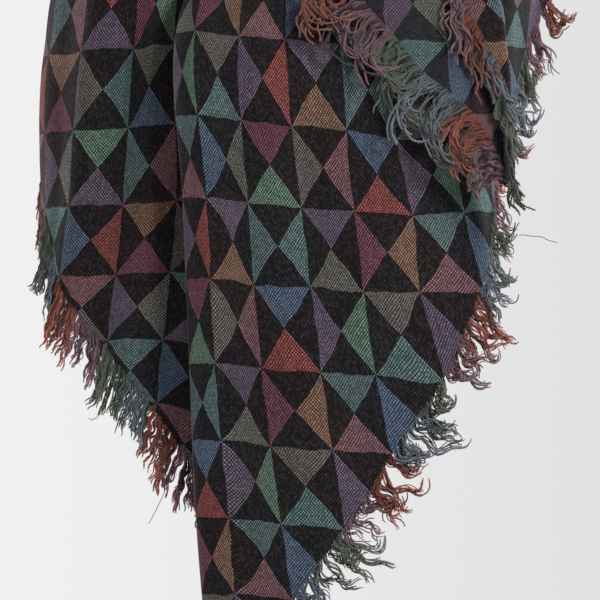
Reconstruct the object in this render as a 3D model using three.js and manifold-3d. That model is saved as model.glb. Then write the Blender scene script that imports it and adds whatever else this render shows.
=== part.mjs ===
// Neck scarf: a square kerchief of woven cloth with ravelled edges, worn round the neck.
// One corner hangs in front as a point, with a deep pleat at its left and a fall behind it.
// A side corner is brought forward and hangs over the point at the right.
// Millimetres, +Z up. The origin is the middle of the neck opening. The front faces -Y.

import * as THREE from 'three';
import { mergeVertices } from 'three/addons/utils/BufferGeometryUtils.js';
import Module from 'manifold-3d';

const wasm = await Module();
wasm.setup();

// Driving sizes
const CHECK = 35; // side of one woven square of the cloth
const CELL = CHECK * Math.SQRT2; // its diagonal, one column or one row of the cloth hung on the bias
const WALL = 1.6; // thickness of the cloth
const SEAM_GAP = 0.9; // parting of a fringe strip from the cloth, about half of it at the tightest folds
const POINT_ROW = 8; // row of the front corner, counted down from the shoulder's row 0
const WING_COLUMN = 9.3; // column where each wing passes under the neck wrap
const COLUMN_STEP = 0.34; // columns from one line of the drape's mesh to the next, about

const COLLAR_RADIUS = 92; // the drape's middle surface just below the wrap
const GATHER_DEPTH = 5.5; // half height of the small gathers at the neck
const GATHER_PITCH = 1.5; // columns from one gather to the next
const GATHER_END_ROW = -0.7; // where the gathers have opened out
const UNDER_TAIL = [1.6, 2.6, 6.2, 7.2]; // columns where they are pressed flat under the tail end

const STRAND_RADII = [0.45, 1.2, 0.9]; // at the root, inside the strip, at the bend and at the end
const STRAND_SPACING = 12;
const FRINGE_LENGTH = 30;
const STRIP_WIDTH = 3.2;
const STRIP_WALL = 1;
const STRAND_ROOT = 0.45; // how far into the strip a strand starts
const SETTLE = [0.3, 0.9]; // how much a strand's two halves turn from square to its edge to hanging

const COLOURS = { cloth: 0x3a3436, wrap: 0x3d3637, tail: 0x46403f, fringe: 0x6d625f };

// Heights of the drape's rows, at the front point and at the fall behind it.
const ROWS = [
  { row: -3.5, front: -20, fall: -20 },
  { row: -2.9, front: -46, fall: -46 },
  { row: -1.2, front: -94, fall: -90 },
  { row: 0, front: -158, fall: -164 },
  { row: 2, front: -283, fall: -283 },
  { row: 4, front: -407, fall: -387 },
  { row: 6, front: -524, fall: -480 },
  { row: POINT_ROW, front: -638, fall: -570 },
];

// The drape's fall lines, from the left wing round to the right one. column is the place in the cut,
// counted from the front corner. turn is the angle at the neck, from the front towards +X. x and y are
// the line's places at the rows -1.2, 0, 2, 4, 6 and 8.
const FALL_LINES = [
  { name: 'left wing end', column: -WING_COLUMN, turn: -126,
    x: [-146, -158, -164, -164, -164, -164], y: [40, 26, 20, 20, 20, 20] },
  { name: 'left wing', column: -8, turn: -110,
    x: [-170, -182, -186, -188, -188, -188], y: [4, -12, -16, -16, -16, -16] },
  { name: 'left shoulder', column: -7, turn: -97,
    x: [-181, -194, -197, -199, -199, -199], y: [-32, -48, -52, -52, -52, -52] },
  { name: 'left side fold', column: -6, turn: -84,
    x: [-178, -193, -196, -200, -200, -200], y: [-68, -88, -90, -90, -90, -90] },
  { name: 'left fall, outer', column: -5, turn: -72,
    x: [-154, -167, -177, -189, -193, -193], y: [-96, -112, -112, -110, -108, -108] },
  { name: 'left fall, middle', column: -4, turn: -61,
    x: [-119, -127, -135, -147, -153, -153], y: [-110, -126, -125, -121, -118, -118] },
  { name: 'left fall, inner', column: -3, turn: -51,
    x: [-90, -96, -94, -105, -113, -113], y: [-115, -134, -134, -130, -126, -126] },
  { name: 'behind the pleat', column: -2.3, turn: -45,
    x: [-72, -64, -62, -70, -80, -80], y: [-115, -137, -138, -134, -130, -130] },
  { name: 'pleat, inner fold back', column: -1.95, turn: -42,
    x: [-67, -49, -47, -51, -60, -60], y: [-116, -139, -140, -136, -132, -132] },
  { name: 'pleat, inner fold', column: -1.7, turn: -40,
    x: [-65, -43, -41, -44, -51, -51], y: [-118, -144, -145, -141, -137, -137] },
  { name: 'pleat, inner fold front', column: -1.45, turn: -38,
    x: [-66, -50, -47, -47, -50, -48], y: [-120, -149, -150, -146, -142, -140] },
  { name: 'pleat, middle layer', column: -1.05, turn: -35,
    x: [-69, -68, -64, -61, -60, -54], y: [-122, -151.5, -152, -149, -145, -142] },
  { name: 'pleat, outer fold back', column: -0.65, turn: -32,
    x: [-74, -87, -82, -77, -73, -62], y: [-124, -154, -155, -152, -148, -144] },
  { name: 'pleat, outer fold', column: -0.4, turn: -30,
    x: [-75, -93, -88, -83, -78, -68], y: [-127, -160.5, -161, -159, -154, -148] },
  { name: 'pleat, outer fold front', column: -0.18, turn: -28,
    x: [-71, -87, -80, -75, -69, -57], y: [-129, -166.5, -167, -165, -159, -152] },
  { name: 'front corner', column: 0, turn: -26,
    x: [-65, -79, -70, -64, -54, -45], y: [-130, -168, -169, -167, -161, -154] },
  { name: 'front, 1', column: 1, turn: -15,
    x: [-38, -46, -39, -29, -14, 3], y: [-134, -170, -172, -170, -164, -156] },
  { name: 'front, 2', column: 2, turn: -4,
    x: [-9, -11, 1, 16, 34, 52], y: [-136, -171, -174, -172, -166, -158] },
  { name: 'front, 3', column: 3, turn: 7,
    x: [22, 30, 41, 57, 82, 100], y: [-135, -169, -172, -169, -162, -156] },
  { name: 'front, 4', column: 4, turn: 18,
    x: [53, 67, 85, 108, 128, 140], y: [-130, -164, -166, -161, -155, -150] },
  { name: 'front, 5', column: 5, turn: 30,
    x: [85, 103, 124, 146, 160, 165], y: [-121, -153, -153, -147, -142, -140] },
  { name: 'right turn', column: 6, turn: 43,
    x: [117, 134, 148, 164, 172, 174], y: [-105, -134, -128, -122, -118, -118] },
  { name: 'right return', column: 7, turn: 58,
    x: [147, 154, 160, 172, 178, 180], y: [-84, -107, -100, -96, -94, -94] },
  { name: 'right wing', column: 8, turn: 75,
    x: [178, 176, 181, 187, 191, 191], y: [-60, -80, -74, -72, -72, -72] },
  { name: 'right wing end', column: WING_COLUMN, turn: 100,
    x: [200, 206, 208, 209, 209, 209], y: [-20, -40, -36, -36, -36, -36] },
];

// The tail end's sections, from under the neck wrap down to its corner. left and fold are places in
// plan of its free left edge and of its right fold, and turned is the length of cloth beyond the fold.
const TAIL_FOLD_RADIUS = 4.5;
const TAIL_SECTIONS = [
  { height: -24, left: [8, -92.9], middle: [48, -79.9], fold: [80, -47.8], turned: 1 },
  { height: -36, left: [8, -93.4], middle: [48, -80.6], fold: [80.6, -48], turned: 1 },
  { height: -46, left: [9, -95.2], middle: [50, -81.8], fold: [82.8, -49], turned: 2 },
  { height: -58, left: [10, -105], middle: [53, -94], fold: [88, -68], turned: 5 },
  { height: -74, left: [14, -124], middle: [61, -118], fold: [104, -98], turned: 14 },
  { height: -94, left: [20, -146], middle: [72, -141], fold: [124, -126], turned: 30 },
  { height: -130, left: [38, -169], middle: [94, -165], fold: [146, -156], turned: 42 },
  { height: -163, left: [66, -179], middle: [110, -175], fold: [150, -166], turned: 30 },
  { height: -191, left: [89, -182], middle: [124, -179], fold: [153, -172], turned: 20 },
  { height: -216, left: [120, -184], middle: [137, -182], fold: [152, -177], turned: 11 },
  { height: -247, left: [140, -183], middle: [147, -182], fold: [152, -179], turned: 5 },
  { height: -268, left: [149, -180], middle: [151, -180], fold: [153, -179], turned: 1.5 },
];

// The neck wrap's section: one turned lip round the neck, then a single wall down to its outer edge,
// with two lengthwise folds. out is measured from the neck's axis.
const WRAP_SECTION = [
  { out: 71, up: 30 },
  { out: 70, up: 41 },
  { out: 76, up: 50 },
  { out: 86, up: 48 },
  { out: 94, up: 38 },
  { out: 95, up: 27 },
  { out: 103, up: 17 },
  { out: 107, up: 4 },
  { out: 104, up: -10 },
  { out: 110, up: -22 },
  { out: 108, up: -33 },
  { out: 99.1, up: -41 },
];
const WRAP_STATIONS = 48;
const WRAP_FRONT_DIP = 7; // how far the wrap sits lower at the front than at the nape
const WRAP_DIP_FULL = 40; // the height from which the dip is full
const WRAP_TWIST = 1.6; // how far its lengthwise folds wander in and out
const WRAP_TWIST_TURNS = 3;
const WRAP_TWIST_STEP = 0.9; // radians of that wander from one place of the section to the next

// A smooth curve through values at rising places, carried on straight past both ends.
function through(places, values, at) {
  const last = places.length - 1;
  const slope = (i, j) => (values[j] - values[i]) / (places[j] - places[i]);
  const bend = (i) => (slope(i, i + 1) - slope(i - 1, i)) / (places[i + 1] - places[i - 1]);
  const tangent = (i) => {
    if (i === 0) return slope(0, 1) - bend(1) * (places[1] - places[0]);
    return slope(i - 1, i) + bend(Math.min(i, last - 1)) * (places[i] - places[i - 1]);
  };
  if (at <= places[0]) return values[0] + (at - places[0]) * tangent(0);
  if (at >= places[last]) return values[last] + (at - places[last]) * tangent(last);
  let i = 0;
  while (at > places[i + 1]) i += 1;
  const span = places[i + 1] - places[i];
  const t = (at - places[i]) / span;
  const low = (1 + 2 * t) * (1 - t) ** 2 * values[i] + t * (1 - t) ** 2 * span * tangent(i);
  return low + t * t * (3 - 2 * t) * values[i + 1] + t * t * (t - 1) * span * tangent(i + 1);
}

const smoothstep = (low, high, at) => THREE.MathUtils.smoothstep(at, low, high);
const radians = THREE.MathUtils.degToRad;
const rowPlaces = ROWS.map((level) => level.row);
const columnPlaces = FALL_LINES.map((line) => line.column);

// The drape's middle surface at a column and row of the cut.
function drapePoint(column, row) {
  const turn = radians(through(columnPlaces, FALL_LINES.map((line) => line.turn), column));
  const collar = [COLLAR_RADIUS - 2, COLLAR_RADIUS];
  const across = (axis, i) => through(columnPlaces, FALL_LINES.map((line) => line[axis][i]), column);
  const levels = [0, 1, 2, 3, 4, 5];
  const xs = [...collar.map((radius) => radius * Math.sin(turn)), ...levels.map((i) => across('x', i))];
  const ys = [...collar.map((radius) => -radius * Math.cos(turn)), ...levels.map((i) => across('y', i))];
  const fall = 1 - smoothstep(-3.4, -0.6, column);
  const heights = ROWS.map((level) => THREE.MathUtils.lerp(level.front, level.fall, fall));
  const point = new THREE.Vector3(
    through(rowPlaces, xs, row), through(rowPlaces, ys, row), through(rowPlaces, heights, row));
  const [enter, flat, rise, clear] = UNDER_TAIL;
  const underTail = smoothstep(enter, flat, column) * (1 - smoothstep(rise, clear, column));
  const gather = GATHER_DEPTH * (1 - underTail) * (1 - smoothstep(ROWS[1].row, GATHER_END_ROW, row));
  const wave = Math.cos((2 * Math.PI * column) / GATHER_PITCH) * gather;
  point.x += wave * Math.sin(turn);
  point.y -= wave * Math.cos(turn);
  return point;
}

const hemRow = (column) => POINT_ROW - Math.abs(column);

// A closed body from points and triangles, turned so that its faces point out.
function body(positions, index) {
  const corner = (i) => new THREE.Vector3().fromArray(positions, 3 * index[i]);
  let volume = 0;
  for (let i = 0; i < index.length; i += 3) volume += corner(i).dot(corner(i + 1).cross(corner(i + 2)));
  if (volume < 0) index.reverse();
  const geometry = new THREE.BufferGeometry();
  geometry.setAttribute('position', new THREE.Float32BufferAttribute(positions, 3));
  geometry.setIndex(index);
  return geometry;
}

// A closed wall on a grid of middle points: two skins half a thickness out, and the rim between them.
// A closed grid joins its last row of points to its first.
function wall(grid, thickness, closed = false) {
  const rows = grid.length;
  const columns = grid[0].length;
  const at = (i, j) => grid[closed ? (i + rows) % rows : THREE.MathUtils.clamp(i, 0, rows - 1)][
    THREE.MathUtils.clamp(j, 0, columns - 1)];
  const positions = [];
  for (const side of [1, -1]) {
    for (let i = 0; i < rows; i += 1) {
      for (let j = 0; j < columns; j += 1) {
        const along = at(i + 1, j).clone().sub(at(i - 1, j));
        const down = at(i, j + 1).clone().sub(at(i, j - 1));
        const out = along.cross(down).normalize().multiplyScalar((side * thickness) / 2);
        positions.push(...out.add(at(i, j)).toArray());
      }
    }
  }
  const skin = rows * columns;
  const index = [];
  const quad = (a, b, c, d) => index.push(a, b, c, a, c, d);
  const outer = (i, j) => (i % rows) * columns + j;
  const inner = (i, j) => skin + outer(i, j);
  for (let i = 0; i < rows - (closed ? 0 : 1); i += 1) {
    for (let j = 0; j < columns - 1; j += 1) {
      quad(outer(i, j), outer(i + 1, j), outer(i + 1, j + 1), outer(i, j + 1));
      quad(inner(i, j), inner(i, j + 1), inner(i + 1, j + 1), inner(i + 1, j));
    }
    quad(outer(i, 0), inner(i, 0), inner(i + 1, 0), outer(i + 1, 0));
    quad(outer(i, columns - 1), outer(i + 1, columns - 1), inner(i + 1, columns - 1),
      inner(i, columns - 1));
  }
  if (!closed) {
    for (let j = 0; j < columns - 1; j += 1) {
      quad(outer(0, j), outer(0, j + 1), inner(0, j + 1), inner(0, j));
      quad(outer(rows - 1, j), inner(rows - 1, j), inner(rows - 1, j + 1), outer(rows - 1, j + 1));
    }
  }
  return body(positions, index);
}

// A tapered strand of three sides along a list of points, closed at both ends.
function strand(points) {
  const sides = 3;
  const positions = [];
  points.forEach((point, i) => {
    const ahead = points[Math.min(i + 1, points.length - 1)].clone()
      .sub(points[Math.max(i - 1, 0)]).normalize();
    const sideways = ahead.clone().cross(new THREE.Vector3(0, 1, 0)).normalize();
    const upward = sideways.clone().cross(ahead);
    const radius = STRAND_RADII[i];
    for (let k = 0; k < sides; k += 1) {
      const turn = (2 * Math.PI * k) / sides;
      positions.push(...point.clone().addScaledVector(sideways, radius * Math.cos(turn))
        .addScaledVector(upward, radius * Math.sin(turn)).toArray());
    }
  });
  const index = [0, 2, 1];
  for (let i = 0; i < points.length - 1; i += 1) {
    for (let k = 0; k < sides; k += 1) {
      const a = i * sides + k;
      const b = i * sides + ((k + 1) % sides);
      index.push(a, b, b + sides, a, b + sides, a + sides);
    }
  }
  const end = (points.length - 1) * sides;
  index.push(end, end + 1, end + 2);
  return body(positions, index);
}

function toManifold(geometry) {
  const bare = mergeVertices(geometry, 1e-4);
  return new wasm.Manifold(new wasm.Mesh({
    numProp: 3,
    vertProperties: new Float32Array(bare.attributes.position.array),
    triVerts: new Uint32Array(bare.index.array),
  }));
}

function fromManifold(solid) {
  const mesh = solid.getMesh();
  const geometry = new THREE.BufferGeometry();
  geometry.setAttribute('position', new THREE.Float32BufferAttribute(mesh.vertProperties, 3));
  geometry.setIndex(new THREE.Uint32BufferAttribute(mesh.triVerts, 1));
  return geometry;
}

// A steady stand-in for chance, from 0 to 1, the same at each run.
const chance = (i, salt) => {
  const spread = Math.sin(i * 12.9898 + salt * 78.233) * 43758.5453;
  return spread - Math.floor(spread);
};

// Fringe along an edge: a narrow strip just off the cloth, with strands fused into it. edge gives the
// point at a place along the edge, a distance out from it. hang gives the way the strands settle.
function fringe({ edge, places, hang }) {
  const grid = places.map((at) => [edge(at, SEAM_GAP), edge(at, STRIP_WIDTH)]);
  const solids = [toManifold(wall(grid, STRIP_WALL))];
  for (let i = 0; i < places.length - 1; i += 1) {
    const count = Math.max(1, Math.round(grid[i][1].distanceTo(grid[i + 1][1]) / STRAND_SPACING));
    for (let k = 0; k < count; k += 1) {
      const along = (k + 0.5) / count;
      const [cloth, free] = [0, 1].map((j) => grid[i][j].clone().lerp(grid[i + 1][j], along));
      const root = cloth.clone().lerp(free, STRAND_ROOT);
      const out = free.clone().sub(cloth).normalize();
      const settle = hang(THREE.MathUtils.lerp(places[i], places[i + 1], along)).normalize();
      const length = FRINGE_LENGTH * (0.8 + 0.4 * chance(i + 0.37 * k, 1));
      const bend = root.clone().addScaledVector(out.clone().lerp(settle, SETTLE[0]).normalize(), length / 2);
      const end = bend.clone().addScaledVector(out.lerp(settle, SETTLE[1]).normalize(), length / 2);
      solids.push(toManifold(strand([root, bend, end])));
    }
  }
  return fromManifold(wasm.Manifold.union(solids));
}

function neckWrap() {
  const grid = [];
  for (let i = 0; i < WRAP_STATIONS; i += 1) {
    const turn = (2 * Math.PI * i) / WRAP_STATIONS;
    const dip = WRAP_FRONT_DIP * 0.5 * (1 - Math.cos(turn));
    const twist = WRAP_TWIST * Math.sin(WRAP_TWIST_TURNS * turn);
    grid.push(WRAP_SECTION.map(({ out, up }, j) => {
      const free = Math.sin((Math.PI * j) / (WRAP_SECTION.length - 1));
      const reach = out + twist * free * Math.sin(WRAP_TWIST_STEP * j);
      const lower = smoothstep(WRAP_SECTION[WRAP_SECTION.length - 1].up, WRAP_DIP_FULL, up);
      return new THREE.Vector3(reach * Math.sin(turn), reach * Math.cos(turn), up + dip * lower);
    }));
  }
  return wall(grid, WALL, true);
}

// Columns of the drape's mesh, three to each column of the cut and closer in the pleat.
const drapeColumns = FALL_LINES.slice(1).flatMap((line, i) => {
  const before = FALL_LINES[i].column;
  const steps = Math.max(2, Math.round((line.column - before) / COLUMN_STEP));
  return Array.from({ length: steps }, (_, k) => before + ((line.column - before) * k) / steps);
}).concat(WING_COLUMN);

function frontDrape() {
  const rows = 18;
  return wall(drapeColumns.map((column) => Array.from({ length: rows + 1 }, (_, i) =>
    drapePoint(column, THREE.MathUtils.lerp(ROWS[0].row, hemRow(column), i / rows)))), WALL);
}

// The tail end's middle surface: share 0 is the left edge, 1 the start of the right fold and 2 the
// free end of the turned part, which curls forward on the fold's radius and then lies flat.
function tailPoint(share, height) {
  const heights = TAIL_SECTIONS.map((section) => -section.height);
  const pick = (value) => through(heights, TAIL_SECTIONS.map(value), -height);
  const [x, y] = [0, 1].map((axis) => through([0, 0.5, 1], ['left', 'middle', 'fold']
    .map((name) => pick((section) => section[name][axis])), Math.min(share, 1)));
  if (share <= 1) return new THREE.Vector3(x, y, height);
  const run = Math.max(pick((section) => section.turned), 0.5) * (share - 1);
  const bent = Math.min(run / TAIL_FOLD_RADIUS, Math.PI);
  const flat = Math.max(run - Math.PI * TAIL_FOLD_RADIUS, 0);
  return new THREE.Vector3(
    x + TAIL_FOLD_RADIUS * Math.sin(bent) - flat, y - TAIL_FOLD_RADIUS * (1 - Math.cos(bent)), height);
}

const TAIL_TOP = TAIL_SECTIONS[0].height;
const TAIL_TIP = TAIL_SECTIONS[TAIL_SECTIONS.length - 1].height;
const tailRows = 18;
const tailHeights = Array.from({ length: tailRows + 1 }, (_, i) =>
  THREE.MathUtils.lerp(TAIL_TOP, TAIL_TIP, i / tailRows));

function tailEnd() {
  const shares = [0, 0.14, 0.28, 0.42, 0.56, 0.7, 0.85, 1, 1.12, 1.24, 1.37, 1.5, 1.65, 1.82, 2];
  return wall(shares.map((share) => tailHeights.map((height) => tailPoint(share, height))), WALL);
}

// The drape carried on past its hem: places are columns, and the distance is square to the hem.
const hemEdge = (column, distance) =>
  drapePoint(column, hemRow(column) + (distance * Math.SQRT2) / CELL);

// The tail end carried on past its left edge (share 0) or its turned edge (share 2). Places are
// heights, and the distance is square to the edge.
const tailEdge = (share) => (height, distance) => {
  const point = tailPoint(share, height);
  const down = tailPoint(share, height - 1).sub(point).normalize();
  const out = point.clone().sub(tailPoint(share === 0 ? 0.02 : share - 0.02, height));
  return point.addScaledVector(out.addScaledVector(down, -out.dot(down)).normalize(), distance);
};

const FRINGE_TOP = -104; // the tail end's fringe starts here, clear of the neck wrap
const TURNED_FRINGE_TOP = -117; // and on the turned edge here, clear of the cloth behind it
const FRINGE_END_COLUMN = 8.8; // and the hems' fringe ends here, where the wings pass under the wrap
const TIP_PARTING = 0.06; // columns left open at the front corner between the two hems' strips
const hemColumns = drapeColumns.filter((column) => Math.abs(column) < FRINGE_END_COLUMN);
const edgeHeights = (top) => tailHeights.slice(0, -1).filter((height) => height < top);

// How far forward a strand on the tail end leans for each length it falls, as the cloth below it does.
const lean = (height, most) => -THREE.MathUtils.lerp(most, 0.12, smoothstep(104, 200, -height));

const FRINGES = [
  { name: 'fringe_left_hem',
    edge: hemEdge,
    places: hemColumns.filter((column) => column < 0).concat(-TIP_PARTING),
    hang: (column) => new THREE.Vector3(column < -2.5 ? -0.35 : -0.08, column < -1.7 ? 0.12 : 0, -1) },
  { name: 'fringe_right_hem',
    edge: hemEdge,
    places: [TIP_PARTING].concat(hemColumns.filter((column) => column > 0)),
    hang: (column) => new THREE.Vector3(0.8 + 0.05 * column, 0, -0.7 + 0.04 * column) },
  { name: 'fringe_tail_outer',
    edge: tailEdge(0),
    places: edgeHeights(FRINGE_TOP),
    hang: (height) => new THREE.Vector3(-0.55, lean(height, 0.8), -0.85) },
  { name: 'fringe_tail_turned',
    edge: tailEdge(2),
    places: edgeHeights(TURNED_FRINGE_TOP),
    hang: (height) => new THREE.Vector3(
      THREE.MathUtils.lerp(-0.15, 0.3, smoothstep(150, 220, -height)), lean(height, 1.3) - 0.15, -1) },
];

const scarf = new THREE.Group();

function add(name, geometry, color, roughness = 0.9) {
  const mesh = new THREE.Mesh(geometry, new THREE.MeshStandardMaterial({ color, roughness, metalness: 0 }));
  mesh.name = name;
  scarf.add(mesh);
}

add('neck_wrap', neckWrap(), COLOURS.wrap);
add('front_drape', frontDrape(), COLOURS.cloth);
add('tail_end', tailEnd(), COLOURS.tail);
FRINGES.forEach((each) => add(each.name, fringe(each), COLOURS.fringe, 0.95));

export default scarf;
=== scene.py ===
# Neck scarf: a woven square kerchief with ravelled edges, worn round the neck.
# Sizes in the tables are millimetres; meshes are metres. +Z is up and the front faces -Y.

import math

import bpy
import numpy as np
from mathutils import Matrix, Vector


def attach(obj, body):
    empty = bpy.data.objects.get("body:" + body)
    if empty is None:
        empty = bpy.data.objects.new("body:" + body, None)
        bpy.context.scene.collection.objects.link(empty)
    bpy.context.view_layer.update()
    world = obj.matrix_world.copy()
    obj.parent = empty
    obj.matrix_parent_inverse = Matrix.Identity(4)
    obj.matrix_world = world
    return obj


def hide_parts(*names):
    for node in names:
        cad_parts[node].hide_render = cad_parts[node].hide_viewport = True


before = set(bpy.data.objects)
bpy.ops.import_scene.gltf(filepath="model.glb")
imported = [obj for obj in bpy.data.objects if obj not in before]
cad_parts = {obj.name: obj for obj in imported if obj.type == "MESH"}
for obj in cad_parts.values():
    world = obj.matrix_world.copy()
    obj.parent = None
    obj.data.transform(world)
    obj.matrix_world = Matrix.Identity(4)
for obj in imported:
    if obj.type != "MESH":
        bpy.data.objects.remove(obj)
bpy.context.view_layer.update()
bpy.ops.object.select_all(action="DESELECT")

MM = 0.001
CHECK = 35.0  # side of one woven square
CELL = CHECK * math.sqrt(2.0)  # one column or row of the cloth hung on the bias
POINT_ROW = 8
WING_COLUMN = 9.3
CLOTH = 1.1  # thickness of the cloth
YARNS = 20  # yarns across one woven square
HEM_STRIP = 0.15  # rows of cloth beyond the last whole squares, at the left hem
PLEAT_COLUMN = -1.7  # the hidden inner fold of the pleat
FRONT_FOLD_COLUMN = -0.4  # the soft fold at the front's left edge
SIDE_FOLD_COLUMN = -6.1  # the soft fold at the left side

# ---- the drape's cut and form
COLLAR_RADIUS = 92
GATHER_DEPTH = 5.5
GATHER_PITCH = 1.5
GATHER_END_ROW = -0.7
COLLAR_DRAW = 2  # how far the cloth's upper edge draws in under the wrap
UNDER_TAIL = (1.6, 2.6, 6.2, 7.2)  # columns where the gathers are pressed flat under the tail end
FALL_BLEND = (-3.4, -0.6)  # columns where the fall's row heights give way to the front's
ROWS = np.array([-3.5, -2.9, -1.2, 0, 2, 4, 6, 8])
FRONT_HEIGHTS = np.array([-20, -46, -94, -158, -283, -407, -524, -638.0])
FALL_HEIGHTS = np.array([-20, -46, -90, -164, -283, -387, -480, -570.0])

# column, turn at the neck, x at rows -1.2 0 2 4 6 8, y at the same rows
FALL_LINES = np.array([
    (-9.3, -126, -146, -158, -164, -164, -164, -164, 40, 26, 20, 20, 20, 20),
    (-8, -110, -170, -182, -186, -188, -188, -188, 4, -12, -16, -16, -16, -16),
    (-7, -97, -181, -194, -197, -199, -199, -199, -32, -48, -52, -52, -52, -52),
    (-6, -84, -178, -193, -196, -200, -200, -200, -68, -88, -90, -90, -90, -90),
    (-5, -72, -154, -167, -177, -189, -193, -193, -96, -112, -112, -110, -108, -108),
    (-4, -61, -119, -127, -135, -147, -153, -153, -110, -126, -125, -121, -118, -118),
    (-3, -51, -90, -96, -94, -105, -113, -113, -115, -134, -134, -130, -126, -126),
    (-2.3, -45, -72, -64, -62, -70, -80, -80, -115, -137, -138, -134, -130, -130),
    (-1.95, -42, -67, -49, -47, -51, -60, -60, -116, -139, -140, -136, -132, -132),
    (-1.7, -40, -65, -43, -41, -44, -51, -51, -118, -144, -145, -141, -137, -137),
    (-1.45, -38, -66, -50, -47, -47, -50, -48, -120, -149, -150, -146, -142, -140),
    (-1.05, -35, -69, -68, -64, -61, -60, -54, -122, -151.5, -152, -149, -145, -142),
    (-0.65, -32, -74, -87, -82, -77, -73, -62, -124, -154, -155, -152, -148, -144),
    (-0.4, -30, -75, -93, -88, -83, -78, -68, -127, -160.5, -161, -159, -154, -148),
    (-0.18, -28, -71, -87, -80, -75, -69, -57, -129, -166.5, -167, -165, -159, -152),
    (0, -26, -65, -79, -70, -64, -54, -45, -130, -168, -169, -167, -161, -154),
    (1, -15, -38, -46, -39, -29, -14, 3, -134, -170, -172, -170, -164, -156),
    (2, -4, -9, -11, 1, 16, 34, 52, -136, -171, -174, -172, -166, -158),
    (3, 7, 22, 30, 41, 57, 82, 100, -135, -169, -172, -169, -162, -156),
    (4, 18, 53, 67, 85, 108, 128, 140, -130, -164, -166, -161, -155, -150),
    (5, 30, 85, 103, 124, 146, 160, 165, -121, -153, -153, -147, -142, -140),
    (6, 43, 117, 134, 148, 164, 172, 174, -105, -134, -128, -122, -118, -118),
    (7, 58, 147, 154, 160, 172, 178, 180, -84, -107, -100, -96, -94, -94),
    (8, 75, 178, 176, 181, 187, 191, 191, -60, -80, -74, -72, -72, -72),
    (9.3, 100, 200, 206, 208, 209, 209, 209, -20, -40, -36, -36, -36, -36),
])

# How far the rows of squares have slipped down from level, by column
SLIP = np.array([
    (-9.3, 0), (-7, 2), (-5.6, 1), (-5, 0), (-4, -1), (-3, -3), (-1.7, -3), (-0.4, -4.5), (0, -4.5),
    (1, -0.5), (2, 2.4), (3, 5.2), (4, 7.0), (5, 5.6), (6, 4.2), (7, 2.5), (9.3, 0.0),
])

# Which column of squares lies at each column near the front's left fold, where the cloth turns away
# and gathers: column of the form, column of squares.
FOLD_COLUMNS = np.array([
    (-1.7, -1.7), (-1.45, -1.64), (-1.05, -1.5), (-0.65, -1.24), (-0.4, -1.0), (-0.18, -0.52), (0, 0),
])
# How far the rows of squares wander from even spacing down the front, by row
ROW_WANDER = np.array([
    (-3.5, 0), (0, 0), (1, -0.04), (2, 0), (3, 0.035), (4, 0), (5, 0.015), (6, 0), (8, 0),
])
# Places where the squares are pulled askew: column, row, reach, columns and rows of pull
PULLS = [
    (3.9, 1.05, 0.7, 0.13, -0.10),
    (3.9, 3.0, 0.6, 0.11, 0.02),
    (5.1, 3.0, 0.5, -0.11, 0.0),
    (3.9, 4.0, 0.5, 0.0, -0.06),
]

# Main creases of the drape: middle column, lean in columns a row, first and last row, half width in
# columns, and depth, where a trough is below nought and a ridge above it.
DRAPE_CREASES = [
    (-0.02, 0.00, -0.5, 9.0, 0.10, 1.4),
    (0.55, 0.03, -1.5, 4.5, 0.34, -2.0),
    (1.35, 0.05, -1.8, 7.5, 0.36, 1.8),
    (2.25, 0.08, 1.5, 7.0, 0.42, -2.2),
    (2.70, 0.10, -2.0, 2.2, 0.30, 1.2),
    (3.35, 0.12, 2.2, 5.6, 0.34, 2.2),
    (4.55, 0.05, 1.4, 4.2, 0.30, -2.4),
    (5.35, 0.00, 1.8, 3.2, 0.26, 3.3),
    (6.35, 0.03, -1.6, 2.4, 0.34, -3.6),
    (7.30, -0.02, -2.0, 1.6, 0.36, 3.0),
    (8.30, 0.00, -2.2, 0.6, 0.34, -2.7),
    (-2.70, -0.04, -1.6, 5.2, 0.26, -2.4),
    (-3.35, -0.05, -1.8, 4.8, 0.30, 2.8),
    (-4.10, -0.05, -1.2, 4.2, 0.34, -2.7),
    (-4.75, -0.03, -2.0, 3.8, 0.30, 2.1),
    (-5.45, 0.00, -1.8, 3.2, 0.32, -3.3),
    (-6.40, 0.02, -2.2, 2.4, 0.34, 3.3),
    (-7.35, 0.03, -2.0, 1.4, 0.36, -3.6),
    (-8.45, 0.00, -2.4, 0.4, 0.34, 2.7),
]

# ---- the tail end's form
TAIL_FOLD_RADIUS = 4.5
# height, left edge x y, middle x y, fold x y, length turned over
TAIL_SECTIONS = np.array([
    (-24, 8, -92.9, 48, -79.9, 80, -47.8, 1),
    (-36, 8, -93.4, 48, -80.6, 80.6, -48, 1),
    (-46, 9, -95.2, 50, -81.8, 82.8, -49, 2),
    (-58, 10, -105, 53, -94, 88, -68, 5),
    (-74, 14, -124, 61, -118, 104, -98, 14),
    (-94, 20, -146, 72, -141, 124, -126, 30),
    (-130, 38, -169, 94, -165, 146, -156, 42),
    (-163, 66, -179, 110, -175, 150, -166, 30),
    (-191, 89, -182, 124, -179, 153, -172, 20),
    (-216, 120, -184, 137, -182, 152, -177, 11),
    (-247, 140, -183, 147, -182, 152, -179, 5),
    (-268, 149, -180, 151, -180, 153, -179, 1.5),
])
TAIL_TOP, TAIL_TIP = TAIL_SECTIONS[0, 0], TAIL_SECTIONS[-1, 0]
# rows of the woven squares down the tail end, counted up from its corner
TAIL_ROW_HEIGHTS = np.array([20, -46, -103.75, -161.5, -215.5, -272.5])
TAIL_ROWS = np.array([-5.1, -4, -3, -2, -1, 0.0])
TURNED_COLUMN = 42.0  # length of turned cloth that takes one column of squares

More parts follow.
